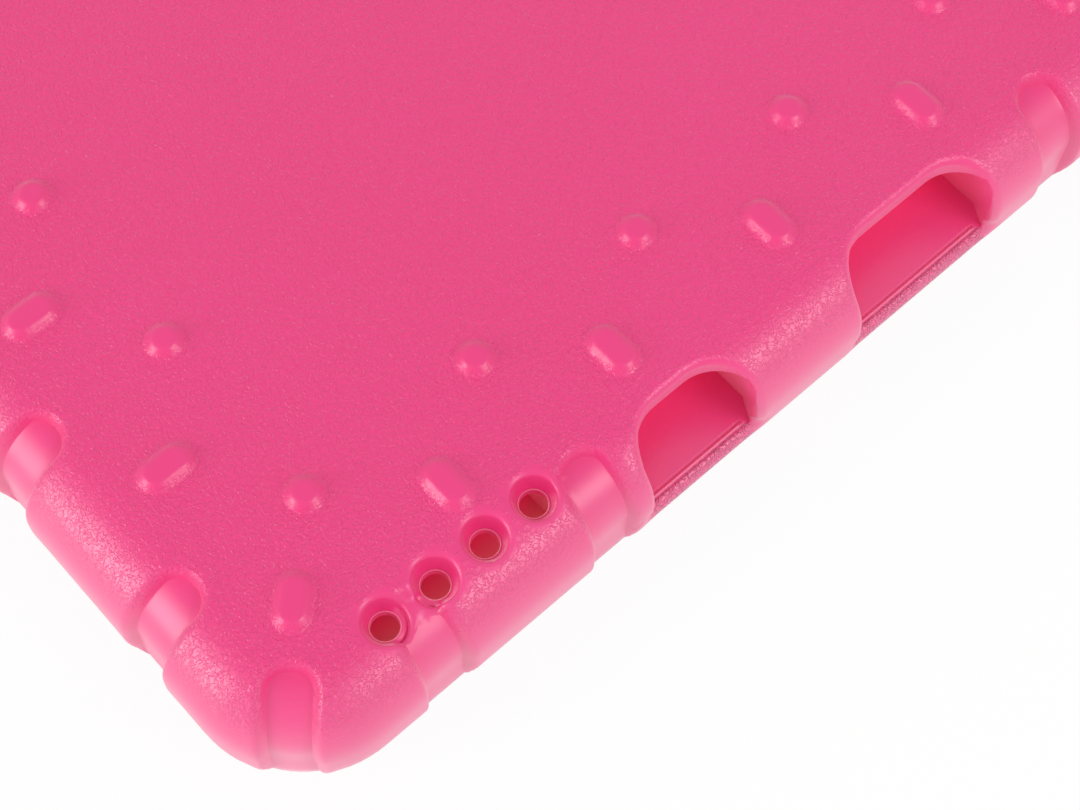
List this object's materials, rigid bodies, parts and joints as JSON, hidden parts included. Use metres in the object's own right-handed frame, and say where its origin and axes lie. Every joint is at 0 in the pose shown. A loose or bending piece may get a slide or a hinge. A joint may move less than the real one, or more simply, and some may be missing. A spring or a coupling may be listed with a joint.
{
  "type": "kids tablet case",
  "caption": "One-piece foam tablet case with a D-shaped bumper, studs and wrap-over grooves, notched ports, conical speaker holes and a lipped display window.",
  "frame": {"origin": "centre of the outline on the plane that the front rim rests on", "axes": "+X across the case, +Y along it towards the camera hole, +Z from the display side to the back"},
  "size_m": [0.1782, 0.2694, 0.0189],
  "materials": {
    "moulded_foam": "matt, with a fine leather-like moulded grain"
  },
  "bodies": {
    "root": {"case_shell": "moulded_foam"}
  },
  "joints": []
}
